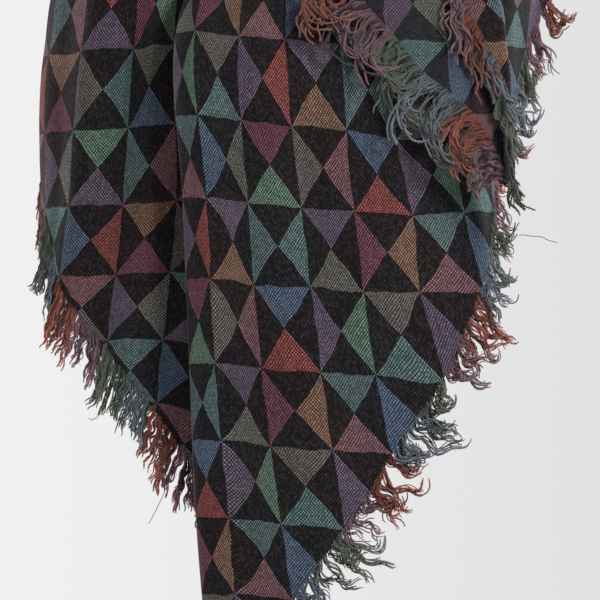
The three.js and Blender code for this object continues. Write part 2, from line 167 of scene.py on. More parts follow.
# ---- the neck wrap's form
WRAP_SECTION = np.array([
    (71, 30), (70, 41), (76, 50), (86, 48), (94, 38), (95, 27), (103, 17), (107, 4),
    (104, -10), (110, -22), (108, -33), (99.1, -41.0),
])
WRAP_FRONT_DIP = 7  # how far the wrap sits lower at the front than at the nape
WRAP_DIP_FULL = 40  # the height from which the dip is full
WRAP_TWIST = 1.6  # how far its lengthwise folds wander in and out
WRAP_FOLD, WRAP_PINCH = 5.0, 2.2  # depth of its slanting folds and of its short pinches
WRAP_SAG = 3.0
WRAP_COLUMNS = 12  # columns of woven squares round the wrap

# ---- where the fringe starts and ends
FRINGE_TOP = -104
TURNED_FRINGE_TOP = -117
FRINGE_END_COLUMN = 8.8
TIP_PARTING = 0.06  # columns left open at the front corner, between the two hems' fringe
FRINGE_FRONT = -218  # no yarn comes further forward

# The front view of the cloth is kept as a grid of how far forward it lies
FIELD_CELL = 4.0
FIELD_CELLS = (180, 120)  # down and across
FIELD_LEFT = -240.0
FIELD_EMPTY = 60.0


# ---- smooth curves and surfaces
def through(places, values, at):
    """A smooth curve through values at rising places, carried on straight past both ends."""
    places = np.asarray(places, float)
    at = np.asarray(at, float)
    values = np.asarray(values, float)
    if values.ndim == 1:
        values = np.repeat(values[:, None], at.size, axis=1)
    gaps = np.diff(places)[:, None]
    slopes = np.diff(values, axis=0) / gaps
    bends = np.diff(slopes, axis=0) / (places[2:] - places[:-2])[:, None]
    first = slopes[:1] - bends[:1] * gaps[:1]
    middle = slopes[:-1] + bends * gaps[:-1]
    last = slopes[-1:] + bends[-1:] * gaps[-1:]
    tangents = np.concatenate([first, middle, last])
    i = np.clip(np.searchsorted(places, at, side="left") - 1, 0, len(places) - 2)
    n = np.arange(at.size)
    span = places[i + 1] - places[i]
    t = (at - places[i]) / span
    low, high = values[i, n], values[i + 1, n]
    dlow, dhigh = tangents[i, n], tangents[i + 1, n]
    inner = (
        (1 + 2 * t) * (1 - t) ** 2 * low
        + t * (1 - t) ** 2 * span * dlow
        + t * t * (3 - 2 * t) * high
        + t * t * (t - 1) * span * dhigh
    )
    before = low + (at - places[i]) * dlow
    after = high + (at - places[i + 1]) * dhigh
    return np.where(t < 0, before, np.where(t > 1, after, inner))


def smoothstep(low, high, at):
    t = np.clip((np.asarray(at, float) - low) / (high - low), 0, 1)
    return t * t * (3 - 2 * t)


def unit(vectors):
    return vectors / np.maximum(np.linalg.norm(vectors, axis=-1, keepdims=True), 1e-9)


def drape_point(column, row):
    """The drape's middle surface at columns and rows of the cut."""
    column, row = np.broadcast_arrays(np.asarray(column, float), np.asarray(row, float))
    shape = column.shape
    c, r = column.ravel(), row.ravel()
    places = FALL_LINES[:, 0]
    turn = np.radians(through(places, FALL_LINES[:, 1], c))
    across = [through(places, FALL_LINES[:, k], c) for k in range(2, 14)]
    drawn_in = COLLAR_RADIUS - COLLAR_DRAW
    xs = np.stack([drawn_in * np.sin(turn), COLLAR_RADIUS * np.sin(turn), *across[:6]])
    ys = np.stack([-drawn_in * np.cos(turn), -COLLAR_RADIUS * np.cos(turn), *across[6:]])
    fall = 1 - smoothstep(*FALL_BLEND, c)
    heights = FRONT_HEIGHTS[:, None] * (1 - fall) + FALL_HEIGHTS[:, None] * fall
    x, y, z = (through(ROWS, values, r) for values in (xs, ys, heights))
    under_tail = smoothstep(*UNDER_TAIL[:2], c) * (1 - smoothstep(*UNDER_TAIL[2:], c))
    gather = GATHER_DEPTH * (1 - under_tail) * (1 - smoothstep(ROWS[1], GATHER_END_ROW, r))
    wave = np.cos(2 * np.pi * c / GATHER_PITCH) * gather
    z = z - through(SLIP[:, 0], SLIP[:, 1], c) * smoothstep(-1.6, 0.2, r)
    points = np.stack([x + wave * np.sin(turn), y - wave * np.cos(turn), z], axis=-1)
    return points.reshape(*shape, 3)


def crease_depth(creases, across, down):
    """How far soft troughs and ridges lift the cloth, each fading out along its length."""
    depth = np.zeros(np.shape(across))
    for middle, lean, first, last, width, height in creases:
        from_middle = (across - middle - lean * (down - first)) / width
        length = smoothstep(first - 0.6, first + 0.8, down) * (1 - smoothstep(last - 1.1, last + 0.5, down))
        depth += height * np.exp(-from_middle ** 2) * length
    return depth


def drape_surface(column, row):
    """The drape with its creases."""
    step = 0.02
    points = drape_point(column, row)
    along = drape_point(np.add(column, step), row) - drape_point(np.subtract(column, step), row)
    down = drape_point(column, np.add(row, step)) - drape_point(column, np.subtract(row, step))
    normal = -unit(np.cross(along, down))
    column, row = np.broadcast_arrays(column, row)
    lift = crease_depth(DRAPE_CREASES, column, row)
    return points + normal * lift[..., None]


def woven_place(column, row):
    """The column and row of squares that lie at a column and row of the drape's form."""
    near_fold = (column > FOLD_COLUMNS[0, 0]) & (column < 0)
    across = np.where(near_fold, np.interp(column, FOLD_COLUMNS[:, 0], FOLD_COLUMNS[:, 1]), column)
    on_front = smoothstep(-1.7, -1.0, column)
    down = row + on_front * np.interp(row, ROW_WANDER[:, 0], ROW_WANDER[:, 1])
    for middle, level, reach, aside, along in PULLS:
        near = np.exp(-((column - middle) ** 2 + (row - level) ** 2) / reach ** 2)
        across, down = across + aside * near, down + along * near
    return across, down


def hem_row(column):
    """The row where the cloth ends at a column."""
    return POINT_ROW - np.abs(column) + HEM_STRIP * smoothstep(1.8, 2.4, -np.asarray(column, float))


def tail_point(share, height):
    """The tail end's middle surface. share 0 is the left edge, 1 the fold and 2 the turned edge."""
    share, height = np.broadcast_arrays(np.asarray(share, float), np.asarray(height, float))
    shape = share.shape
    s, h = share.ravel(), height.ravel()
    places = -TAIL_SECTIONS[:, 0]
    values = [through(places, TAIL_SECTIONS[:, k], -h) for k in range(1, 8)]
    near = np.minimum(s, 1)
    x = through([0, 0.5, 1], np.stack(values[0:6:2]), near)
    y = through([0, 0.5, 1], np.stack(values[1:6:2]), near)
    run = np.maximum(values[6], 0.5) * np.maximum(s - 1, 0)
    bent = np.minimum(run / TAIL_FOLD_RADIUS, np.pi)
    flat = np.maximum(run - np.pi * TAIL_FOLD_RADIUS, 0)
    x = x + TAIL_FOLD_RADIUS * np.sin(bent) - flat
    y = y - TAIL_FOLD_RADIUS * (1 - np.cos(bent))
    return np.stack([x, y, h], axis=-1).reshape(*shape, 3)


def tail_squares(share, height):
    """Where a place on the tail end lies in the woven squares."""
    share, height = np.broadcast_arrays(np.asarray(share, float), np.asarray(height, float))
    row = through(-TAIL_ROW_HEIGHTS, TAIL_ROWS, -height.ravel()).reshape(share.shape)
    turned = through(-TAIL_SECTIONS[:, 0], TAIL_SECTIONS[:, 7], -height.ravel()).reshape(share.shape)
    column = np.where(share <= 1, row * (1 - share), np.maximum(turned, 0.5) * (share - 1) / TURNED_COLUMN)
    return np.stack([-2 - (row - column), row + column], axis=-1)


# ---- meshes
def new_object(name, verts, faces, uvs, materials, face_slots=None):
    """A mesh object at the origin, from points in millimetres. uvs has one pair for each face corner."""
    mesh = bpy.data.meshes.new(name)
    mesh.from_pydata((verts * MM).tolist(), [], faces)
    layer = mesh.uv_layers.new(name="weave")
    layer.data.foreach_set("uv", np.asarray(uvs, np.float32).ravel())
    for material in materials:
        mesh.materials.append(material)
    if face_slots is not None:
        mesh.polygons.foreach_set("material_index", np.asarray(face_slots, np.int32))
    mesh.polygons.foreach_set("use_smooth", np.ones(len(mesh.polygons), bool))
    mesh.update()
    made = bpy.data.objects.new(name, mesh)
    bpy.context.scene.collection.objects.link(made)
    return made


def signed_volume(verts, faces):
    a, b, c, d = (verts[faces[:, k]] for k in range(4))
    return np.einsum("ij,ij->", a, np.cross(b, c)) + np.einsum("ij,ij->", a, np.cross(c, d))


def cloth_shell(name, grid, squares, materials, fold_highlight, closed=False):
    """A thin wall with two skins on a grid of middle points. squares gives the weave's place of each grid
    cell's four corners, and the argument after materials how much painted highlight each point takes
    along a fold. materials are the first and the second skin's. A closed grid joins its last row of
    points to its first."""
    m, n = grid.shape[:2]
    if closed:
        along = np.roll(grid, -1, axis=0) - np.roll(grid, 1, axis=0)
    else:
        along = np.gradient(grid, axis=0)
    down = np.gradient(grid, axis=1)
    normal = unit(np.cross(along, down))
    skins = [grid + side * normal * CLOTH / 2 for side in (1, -1)]
    verts = np.concatenate([skin.reshape(-1, 3) for skin in skins])
    size = m * n
    cells = m if closed else m - 1
    i, j = np.meshgrid(np.arange(cells), np.arange(n - 1), indexing="ij")
    i, j = i.ravel(), j.ravel()
    ahead = (i + 1) % m
    a, b, c, d = i * n + j, ahead * n + j, ahead * n + j + 1, i * n + j + 1
    quads = squares.reshape(-1, 4, 2)
    outer = np.stack([a, b, c, d], 1)
    faces = [outer, outer[:, [0, 3, 2, 1]] + size]
    uvs = [quads, quads[:, [0, 3, 2, 1]]]
    slots = [np.zeros(len(a)), np.ones(len(a))]
    # the rim between the skins passes along cells, and joins two corners of each
    rims = [(np.s_[:, 0], 0, 1), (np.s_[:, -1], 2, 3)]
    if not closed:
        rims += [(np.s_[0], 3, 0), (np.s_[-1], 1, 2)]
    for border, near, far in rims:
        first, second = outer.reshape(cells, n - 1, 4)[border][:, [near, far]].T
        faces.append(np.stack([first, first + size, second + size, second], 1))
        uvs.append(squares[border][:, [near, near, far, far]])
        slots.append(np.zeros(len(first)))
    faces, uvs, slots = np.concatenate(faces), np.concatenate(uvs), np.concatenate(slots)
    if signed_volume(verts, faces) < 0:
        faces, uvs = faces[:, ::-1], uvs[:, ::-1]
    made = new_object(name, verts, faces.tolist(), uvs, materials, slots)
    highlight_layer = made.data.attributes.new("fold_highlight", "FLOAT", "POINT")
    on_both = np.tile(np.broadcast_to(fold_highlight, (m, n)).ravel(), 2)
    highlight_layer.data.foreach_set("value", on_both.astype(np.float32))
    return made


def cell_corners(values):
    """The four corners of each cell of a grid of values, in the order of the shell's faces."""
    return np.stack([values[:-1, :-1], values[1:, :-1], values[1:, 1:], values[:-1, 1:]], axis=2)


# ---- colours of the yarns
def rgb(red, green, blue):
    """A colour given as it looks on a screen, from 0 to 255, as the shader's linear colour."""
    def channel(value):
        value /= 255
        return value / 12.92 if value <= 0.04045 else ((value + 0.055) / 1.055) ** 2.4
    return (channel(red), channel(green), channel(blue), 1.0)


FOUR_YARNS = [rgb(73, 98, 86), rgb(64, 79, 96), rgb(117, 63, 54), rgb(84, 55, 69)]
THREE_YARNS = [rgb(84, 97, 80), rgb(74, 82, 97), rgb(98, 57, 62)]
DARK_YARN = rgb(33, 29, 31)
CROSSWISE_TONE, LENGTHWISE_TONE = 1.08, 0.96  # how bright the two ways' yarns are
FRINGE_YARNS = [rgb(116, 128, 114), rgb(130, 139, 149), rgb(166, 103, 86), rgb(150, 118, 127)]


# ---- shader nodes
class Nodes:
    """Makes nodes in one tree, and joins them as they are made."""

    def __init__(self, tree):
        self.tree = tree

    def put(self, socket, value):
        if isinstance(value, bpy.types.NodeSocket):
            self.tree.links.new(value, socket)
        else:
            socket.default_value = value

    def node(self, kind, inputs={}, **settings):
        made = self.tree.nodes.new(kind)
        for key, value in settings.items():
            setattr(made, key, value)
        for key, value in inputs.items():
            self.put(made.inputs[key], value)
        return made

    def math(self, operation, *values):
        return self.node("ShaderNodeMath", dict(enumerate(values)), operation=operation).outputs[0]

    def mix(self, factor, first, second):
        return self.node("ShaderNodeMix", {0: factor, 6: first, 7: second}, data_type="RGBA").outputs[2]

    def scale(self, colour, factor):
        """A colour made lighter or darker by a factor."""
        return self.node("ShaderNodeVectorMath", {0: colour, "Scale": factor}, operation="SCALE").outputs[0]

    def steps(self, factor, colours):
        """One of several colours, in equal steps of the factor."""
        made = self.tree.nodes.new("ShaderNodeValToRGB")
        ramp = made.color_ramp
        ramp.interpolation = "CONSTANT"
        for i, colour in enumerate(colours):
            place = i / len(colours)
            stop = ramp.elements[i] if i < 2 else ramp.elements.new(place)
            stop.position = place
            stop.color = colour
        self.put(made.inputs[0], factor)
        return made.outputs[0]

    def noise(self, vector, size, detail=2.0, rough=0.5):
        inputs = {"Vector": vector, "Scale": size, "Detail": detail, "Roughness": rough}
        return self.node("ShaderNodeTexNoise", inputs).outputs["Fac"]


def group(name, inputs, outputs):
    """An empty node group with its named inputs and outputs."""
    tree = bpy.data.node_groups.new(name, "ShaderNodeTree")
    for label, kind, value in inputs:
        socket = tree.interface.new_socket(label, in_out="INPUT", socket_type="NodeSocket" + kind)
        if value is not None:
            socket.default_value = value
    for label, kind in outputs:
        tree.interface.new_socket(label, in_out="OUTPUT", socket_type="NodeSocket" + kind)
    return tree, Nodes(tree), tree.nodes.new("NodeGroupInput"), tree.nodes.new("NodeGroupOutput")


def woven_squares():
    """Half-square triangles of striped yarns in a plain weave. Tint is how much of the coloured yarns
    shows in the dark halves, and Contrast how plainly the single yarns show."""
    wander = (0.14, 0.14, 0.0)  # in squares
    softness = 0.6  # of the steps along the squares' edges
    fullness, brightness = 1.7, 3.7  # of a yarn's stroke: its painted highlight on the crown and painted shade at the dips
    tree, n, given, out = group(
        "Woven squares",
        [("Squares", "Vector", None), ("Dark", "Color", DARK_YARN), ("Tint", "Float", 0.1),
         ("Contrast", "Float", 1.0)],
        [("Color", "Color"), ("Height", "Float")])
    # the yarns wander a little, so the squares' edges aren't quite straight
    squares = given.outputs["Squares"]
    bend = n.node("ShaderNodeTexNoise", {"Vector": squares, "Scale": 1.7, "Detail": 2.0}).outputs["Color"]
    shift = n.node("ShaderNodeVectorMath", {0: bend, 1: (0.5, 0.5, 0.5)}, operation="SUBTRACT").outputs[0]
    moved = n.node("ShaderNodeVectorMath", {0: shift, 1: wander, 2: squares}, operation="MULTIPLY_ADD")
    apart = n.node("ShaderNodeSeparateXYZ", {0: moved.outputs[0]})
    yarns = [n.math("MULTIPLY", apart.outputs[k], YARNS) for k in (0, 1)]
    a, b = (n.math("FLOOR", yarn) for yarn in yarns)
    within_a, within_b = (n.math("FRACT", yarn) for yarn in yarns)

    # the squares' edges step from yarn to yarn, but softly
    def stepped(yarn, within):
        start = n.math("ADD", yarn, (1 - softness) / 2)
        return n.math("DIVIDE", n.math("MULTIPLY_ADD", within, softness, start), YARNS)

    u, v = stepped(a, within_a), stepped(b, within_b)
    column = n.math("MULTIPLY", n.math("SUBTRACT", u, v), 0.5)
    row = n.math("MULTIPLY", n.math("ADD", u, v), 0.5)
    beside, above = (n.math("ABSOLUTE", n.math("SUBTRACT", n.math("FRACT", at), 0.5)) for at in (column, row))
    upright = n.math("GREATER_THAN", above, beside)
    odd = n.math("FLOORED_MODULO", n.math("ADD", n.math("FLOOR", column), n.math("FLOOR", row)), 2.0)
    coloured = n.math("ABSOLUTE", n.math("SUBTRACT", upright, odd))

    def stripe(at, colours):
        turn = n.math("FLOORED_MODULO", n.math("FLOOR", at), len(colours))
        return n.steps(n.math("DIVIDE", n.math("ADD", turn, 0.5), len(colours)), colours)

    four, three = stripe(v, FOUR_YARNS), stripe(u, THREE_YARNS)
    even = n.mix(0.58, three, four)
    # each yarn goes over one and under the next, in the weave's pattern of short strokes where it is on top;
    # each stroke carries a painted highlight on its crown and painted shade where it dips
    over = n.math("FLOORED_MODULO", n.math("ADD", a, b), 2.0)
    along, across = (n.math("MULTIPLY_ADD", within, 2.0, -1.0) for within in (within_a, within_b))
    wide, long = n.math("MULTIPLY", across, across), n.math("MULTIPLY", along, along)
    side = n.node("ShaderNodeMix", {0: over, 2: long, 3: wide}).outputs[0]
    end = n.node("ShaderNodeMix", {0: over, 2: wide, 3: long}).outputs[0]
    relief_and_shade = n.math("MULTIPLY", n.math("SUBTRACT", 1.0, side), n.math("MULTIPLY_ADD", end, -0.72, 1.0))
    crossing = n.node("ShaderNodeCombineXYZ", {0: a, 1: b}).outputs[0]
    fleck = n.node("ShaderNodeTexWhiteNoise", {"Vector": crossing}, noise_dimensions="2D").outputs["Value"]
    crosswise = n.scale(n.mix(0.7, four, even), CROSSWISE_TONE)
    lengthwise = n.scale(n.mix(0.7, three, even), LENGTHWISE_TONE)
    top = n.scale(n.mix(over, lengthwise, crosswise), n.math("MULTIPLY_ADD", fleck, 0.6, 0.7))
    # the yarn's painted highlight and painted shade scale its colour
    top = n.scale(top, n.math("MULTIPLY", n.math("POWER", relief_and_shade, fullness), brightness))
    top = n.mix(given.outputs["Contrast"], even, top)
    # the dark halves are speckled, a few of their yarns much lighter than the rest
    speck = n.math("MULTIPLY_ADD", n.math("POWER", fleck, 2.0), 1.6, 0.45)
    speck = n.math("MULTIPLY", speck, n.math("MULTIPLY_ADD", relief_and_shade, 1.5, 0.2))
    dark = n.mix(given.outputs["Tint"], n.scale(given.outputs["Dark"], speck), top)
    n.put(out.inputs["Color"], n.mix(coloured, dark, top))
    n.put(out.inputs["Height"], relief_and_shade)
    return tree


def wool_nap():
    """Soft uneven tone of a worn wool surface, and the fine relief of its loose fibres."""
    tree, n, given, out = group(
        "Wool nap", [("Color", "Color", (1, 1, 1, 1)), ("Amount", "Float", 0.2)],
        [("Color", "Color"), ("Height", "Float")])
    place = n.node("ShaderNodeTexCoord").outputs["Object"]
    broad = n.noise(place, 18.0, 3.0)
    fine = n.noise(place, 900.0, 2.0, 0.7)
    worn = n.math("MULTIPLY_ADD", n.math("SUBTRACT", broad, 0.5), 0.5, 1.0)
    speck = n.math("MULTIPLY_ADD", n.math("SUBTRACT", fine, 0.5), given.outputs["Amount"], worn)
    n.put(out.inputs["Color"], n.scale(given.outputs["Color"], speck))
    n.put(out.inputs["Height"], fine)
    return tree


WOVEN_SQUARES = woven_squares()
WOOL_NAP = wool_nap()
FOLD_HIGHLIGHT_TONE = rgb(128, 106, 110)  # painted highlight: the pale sliver where a fold turns away and catches grazing light


def new_material(name):
    """A material with its nodes and its shader."""
    material = bpy.data.materials.new(name)
    material.use_nodes = True
    return material, Nodes(material.node_tree), material.node_tree.nodes["Principled BSDF"]


def finish(shader, roughness, specular, sheen, sheen_roughness):
    for label, value in (("Roughness", roughness), ("Specular IOR Level", specular), ("Sheen Weight", sheen),
                         ("Sheen Roughness", sheen_roughness)):
        shader.inputs[label].default_value = value


def cloth_material(name, dark, tint, contrast, wash, wash_amount, relief, sheen):
    """Woven cloth. wash is the colour of raised nap that softens the pattern."""
    material, n, shader = new_material(name)
    uv = n.node("ShaderNodeUVMap", uv_map="weave").outputs[0]
    woven = n.node("ShaderNodeGroup", node_tree=WOVEN_SQUARES)
    for label, value in (("Squares", uv), ("Dark", dark), ("Tint", tint), ("Contrast", contrast)):
        n.put(woven.inputs[label], value)
    soft = n.mix(wash_amount, woven.outputs["Color"], wash)
    nap = n.node("ShaderNodeGroup", node_tree=WOOL_NAP)
    # painted highlight: the cloth is mixed towards a pale tone along its folds, where grazing light catches
    # it
    fold_highlight = n.node("ShaderNodeAttribute", attribute_name="fold_highlight").outputs["Fac"]
    n.put(nap.inputs["Color"], n.mix(n.math("MULTIPLY", fold_highlight, 0.8), soft, FOLD_HIGHLIGHT_TONE))
    n.put(nap.inputs["Amount"], 0.35)
    n.put(shader.inputs["Base Color"], nap.outputs["Color"])
    height = n.math("MULTIPLY_ADD", nap.outputs["Height"], 0.6, woven.outputs["Height"])
    bump = n.node("ShaderNodeBump", {"Height": height, "Strength": relief, "Distance": 0.0006})
    n.put(shader.inputs["Normal"], bump.outputs[0])
    finish(shader, 0.92, 0.15, sheen, 0.6)
    return material


RIGHT_SIDE = cloth_material(
    "Woven cloth, right side", dark=DARK_YARN, tint=0.04, contrast=1.0,
    wash=rgb(90, 84, 86), wash_amount=0.0, relief=0.6, sheen=0.04)
WRONG_SIDE = cloth_material(
    "Woven cloth, wrong side", dark=rgb(30, 27, 32), tint=0.08, contrast=0.72,
    wash=rgb(74, 72, 78), wash_amount=0.1, relief=0.4, sheen=0.06)


def yarn_material():
    """Loose crimped yarn. The map's first number holds the band and the shade, the second the way
    along the yarn."""
    material, n, shader = new_material("Ravelled yarn")
    uv = n.node("ShaderNodeUVMap", uv_map="weave").outputs[0]
    apart = n.node("ShaderNodeSeparateXYZ", {0: uv})
    band = n.math("FLOOR", apart.outputs[0])
    shade = n.math("FRACT", apart.outputs[0])
    colour = n.steps(n.math("DIVIDE", n.math("ADD", band, 0.5), len(FRINGE_YARNS)), FRINGE_YARNS)
    # the darkest third are the dark halves' yarns, and the others differ in lightness
    dark = n.math("LESS_THAN", shade, 0.34)
    light = n.math("MULTIPLY_ADD", shade, 0.7, 0.62)
    colour = n.mix(dark, n.scale(colour, light), n.mix(0.16, rgb(40, 35, 37), colour))
    # painted highlight: each yarn is mixed towards a pale tone towards its free end, where light from behind
    # shines through it
    backlit_tips = n.math("MULTIPLY", apart.outputs[1], 0.18)
    colour = n.mix(backlit_tips, colour, rgb(196, 188, 178))
    nap = n.node("ShaderNodeGroup", node_tree=WOOL_NAP)
    n.put(nap.inputs["Color"], colour)
    n.put(nap.inputs["Amount"], 0.8)
    n.put(shader.inputs["Base Color"], nap.outputs["Color"])
    way = n.node("ShaderNodeCombineXYZ", {0: n.math("MULTIPLY", apart.outputs[1], 22.0), 1: shade}).outputs[0]
    twist = n.node("ShaderNodeTexWave", {"Vector": way, "Scale": 1.0, "Distortion": 1.0}).outputs["Fac"]
    height = n.math("ADD", twist, nap.outputs["Height"])
    bump = n.node("ShaderNodeBump", {"Height": height, "Strength": 0.5, "Distance": 0.0002})
    n.put(shader.inputs["Normal"], bump.outputs[0])
    finish(shader, 0.8, 0.25, 0.3, 0.5)
    # loose yarns are thin enough to let some light through
    through_yarn = n.node("ShaderNodeBsdfTranslucent", {"Color": n.scale(nap.outputs["Color"], 2.2)})
    both = n.node("ShaderNodeMixShader", {0: 0.4, 1: shader.outputs[0], 2: through_yarn.outputs[0]})
    n.put(material.node_tree.nodes["Material Output"].inputs["Surface"], both.outputs[0])
    return material


YARN = yarn_material()


# ---- the cloth
def spread(places, steps):
    """Places between neighbours of a list, the same number of steps in each gap or one for each."""
    steps = np.broadcast_to(steps, len(places) - 1)
    parts = [np.linspace(places[k], places[k + 1], steps[k], endpoint=False) for k in range(len(places) - 1)]
    return np.concatenate([*parts, [places[-1]]])


def highlight_along(fold, at, amount, width):
    """How much painted highlight the cloth takes on each side of a fold."""
    return amount * np.exp(-((at - fold) / width) ** 2)


def front_drape():
    lines = FALL_LINES[:, 0]
    column_steps = 11
    beside_fold = np.abs((lines[1:] + lines[:-1]) / 2 - FRONT_FOLD_COLUMN) < 0.2
    even = np.ceil(np.diff(lines) * column_steps).astype(int)
    steps = np.where(beside_fold, column_steps, np.maximum(5, even))
    columns = spread(lines, steps)
    shares = np.linspace(0, 1, 150)
    column = np.repeat(columns[:, None], len(shares), axis=1)
    row = ROWS[0] + (hem_row(column) - ROWS[0]) * shares
    grid = drape_surface(column, row)
    behind = cell_corners(column).mean(axis=2) < PLEAT_COLUMN
    across, down = woven_place(column, row)
    c, r = cell_corners(across), cell_corners(down)
    front = np.stack([r + c, r - c], axis=-1)
    fall = np.stack([6 - (r - c), r + c], axis=-1)
    squares = np.where(behind[..., None, None], fall, front)
    # painted highlight: a thin pale line along the front's left fold, and a fainter, wider one along the left
    # side's fold
    fold_highlight = highlight_along(FRONT_FOLD_COLUMN, column, 0.8, 0.014) + highlight_along(SIDE_FOLD_COLUMN, column, 0.3, 0.12)
    return cloth_shell("front_drape_cloth", grid, squares, [WRONG_SIDE, RIGHT_SIDE], fold_highlight)


def tail_end():
    shares = np.concatenate([np.linspace(0, 1, 56, endpoint=False), np.linspace(1, 2, 60)])
    heights = np.linspace(TAIL_TOP, TAIL_TIP, 150)
    share = np.repeat(shares[:, None], len(heights), axis=1)
    height = np.repeat(heights[None, :], len(shares), axis=0)
    grid = tail_point(share, height)
    squares = cell_corners(tail_squares(share, height))
    # painted highlight along the tail end's fold
    fold_highlight = highlight_along(1.12, share, 0.35, 0.08)
    return cloth_shell("tail_end_cloth", grid, squares, [RIGHT_SIDE, WRONG_SIDE], fold_highlight)


def neck_wrap():
    stations, section_steps = 180, 7
    turn = 2 * np.pi * np.arange(stations) / stations
    places = np.arange(len(WRAP_SECTION), dtype=float)
    at = spread(places, section_steps)
    out, up = (through(places, WRAP_SECTION[:, k], at) for k in (0, 1))
    down = np.pi * at / places[-1]
    free = np.sin(down)
    angle = turn[:, None]
    twist = WRAP_TWIST * np.sin(3 * angle) * np.sin(0.9 * at)
    slant = 2.6 * np.sin(angle + 0.7) + 1.1 * np.sin(2 * angle + 2.0) + 0.9 * np.sin(5 * angle)
    folds = np.sin(5.2 * down + slant)
    pinched = smoothstep(-0.6, 0.9, np.sin(3 * angle + 0.35 * at))
    pinches = np.sin(7 * angle + 0.5 * at + 1.4 * np.sin(2 * angle)) * pinched
    reach = out + free * (twist + WRAP_FOLD * folds + WRAP_PINCH * pinches)
    dip = WRAP_FRONT_DIP * 0.5 * (1 - np.cos(angle))
    lower = smoothstep(WRAP_SECTION[-1, 1], WRAP_DIP_FULL, up)
    sag = WRAP_SAG * free * np.sin(2 * angle + 0.25 * at)
    grid = np.stack([reach * np.sin(angle), reach * np.cos(angle), up + dip * lower + sag], axis=-1)
    length = np.concatenate([[0], np.cumsum(np.hypot(np.diff(out), np.diff(up)))]) / CELL
    around = WRAP_COLUMNS * np.arange(stations + 1) / stations
    column = np.repeat(around[:, None], len(at), axis=1)
    row = np.repeat(length[None, :], stations + 1, axis=0)
    c, r = cell_corners(column), cell_corners(row)
    squares = np.stack([r + c, r - c], axis=-1)
    return cloth_shell("neck_wrap_cloth", grid, squares, [WRONG_SIDE, RIGHT_SIDE], 0.0, closed=True)


drape = front_drape()
tail = tail_end()
wrap = neck_wrap()


# ---- fringe
def front_field(surfaces):
    """How far forward the cloth lies at each place of the front view, on a coarse grid."""
    field = np.full(FIELD_CELLS, FIELD_EMPTY)
    for points in surfaces:
        np.minimum.at(field, field_place(points), points[..., 1])
    for _ in range(2):  # close the gaps between samples
        near = [np.roll(field, shift, axis) for axis in (0, 1) for shift in (1, -1)]
        field = np.where(field == FIELD_EMPTY, np.minimum.reduce([field, *near]), field)
    return field


def field_place(points):
    down, across = -points[..., 2], points[..., 0] - FIELD_LEFT
    return tuple(np.clip((way / FIELD_CELL).astype(int), 0, cells - 1)
                 for way, cells in zip((down, across), FIELD_CELLS))


def sample_field():
    columns, shares = np.linspace(-WING_COLUMN, WING_COLUMN, 400), np.linspace(0, 1, 240)
    column = np.repeat(columns[:, None], len(shares), axis=1)
    points = drape_surface(column, ROWS[0] + (hem_row(column) - ROWS[0]) * shares)
    share, height = np.meshgrid(np.linspace(0, 2, 120), np.linspace(-60, TAIL_TIP, 160), indexing="ij")
    return front_field([points.reshape(-1, 3), tail_point(share, height).reshape(-1, 3)])


FIELD = sample_field()


GROWN_AT = 70.0  # how far from a tapered fringe's first end it has its full length
PLY = 0.62  # radius of one ply, and of its coil, as a share of its yarn's
HAIR_RADIUS, STRAY_RADIUS = 0.1, 0.3


def drifting(at, length, every, chance):
    """A random value that changes smoothly along an edge, about every so many millimetres."""
    knots = max(3, int(length / every))
    return np.interp(at / length * (knots - 1), np.arange(knots), chance.normal(size=knots))


def across_paths(paths):
    """Two ways square to each path."""
    ahead = unit(np.gradient(paths, axis=1))
    aside = unit(np.cross(ahead, np.array([0.31, 1.0, 0.17])))
    return aside, np.cross(aside, ahead)


def tube_parts(paths, radii, tones, sides, slim=1.0):
    """Points, faces and weave places of thin yarns along paths. slim is the share of the radius at the
    root, and tones hold each yarn's band and shade."""
    count, places = paths.shape[:2]
    aside, upward = across_paths(paths)
    along = np.linspace(0, 1, places)
    taper = (slim + (1 - slim) * smoothstep(0, 0.2, along)) * (1 - 0.3 * smoothstep(0.92, 1, along))
    turn = 2 * np.pi * np.arange(sides) / sides
    radius = (radii[:, None] * taper)[..., None, None]
    ring = aside[:, :, None] * np.cos(turn)[:, None] + upward[:, :, None] * np.sin(turn)[:, None]
    verts = (paths[:, :, None] + radius * ring).reshape(-1, 3)
    base = (np.arange(count) * places * sides)[:, None, None]
    level = (np.arange(places - 1) * sides)[None, :, None]
    k = np.arange(sides)[None, None, :]
    a, b = base + level + k, base + level + (k + 1) % sides
    faces = np.stack([a, b, b + sides, a + sides], axis=-1).reshape(-1, 4).tolist()
    tone = np.broadcast_to(tones[:, None, None], a.shape)
    near = np.broadcast_to(along[:-1][None, :, None], a.shape)
    far = np.broadcast_to(along[1:][None, :, None], a.shape)
    corners = [np.stack([tone] * 4, -1), np.stack([near, near, far, far], -1)]
    uvs = [np.stack(corners, axis=-1).reshape(-1, 2)]
    for place, order in ((0, np.arange(sides)[::-1]), (places - 1, np.arange(sides))):
        faces += ((np.arange(count) * places * sides)[:, None] + place * sides + order).tolist()
        uvs.append(np.stack([np.repeat(tones, sides), np.full(count * sides, along[place])], axis=-1))
    return verts, faces, np.concatenate(uvs)


def joined_tubes(name, parts):
    verts, faces, uvs, start = [], [], [], 0
    for points, corners, places in parts:
        verts.append(points)
        faces += [[corner + start for corner in face] for face in corners]
        uvs.append(places)
        start += len(points)
    return new_object(name, np.concatenate(verts), faces, np.concatenate(uvs), [YARN])


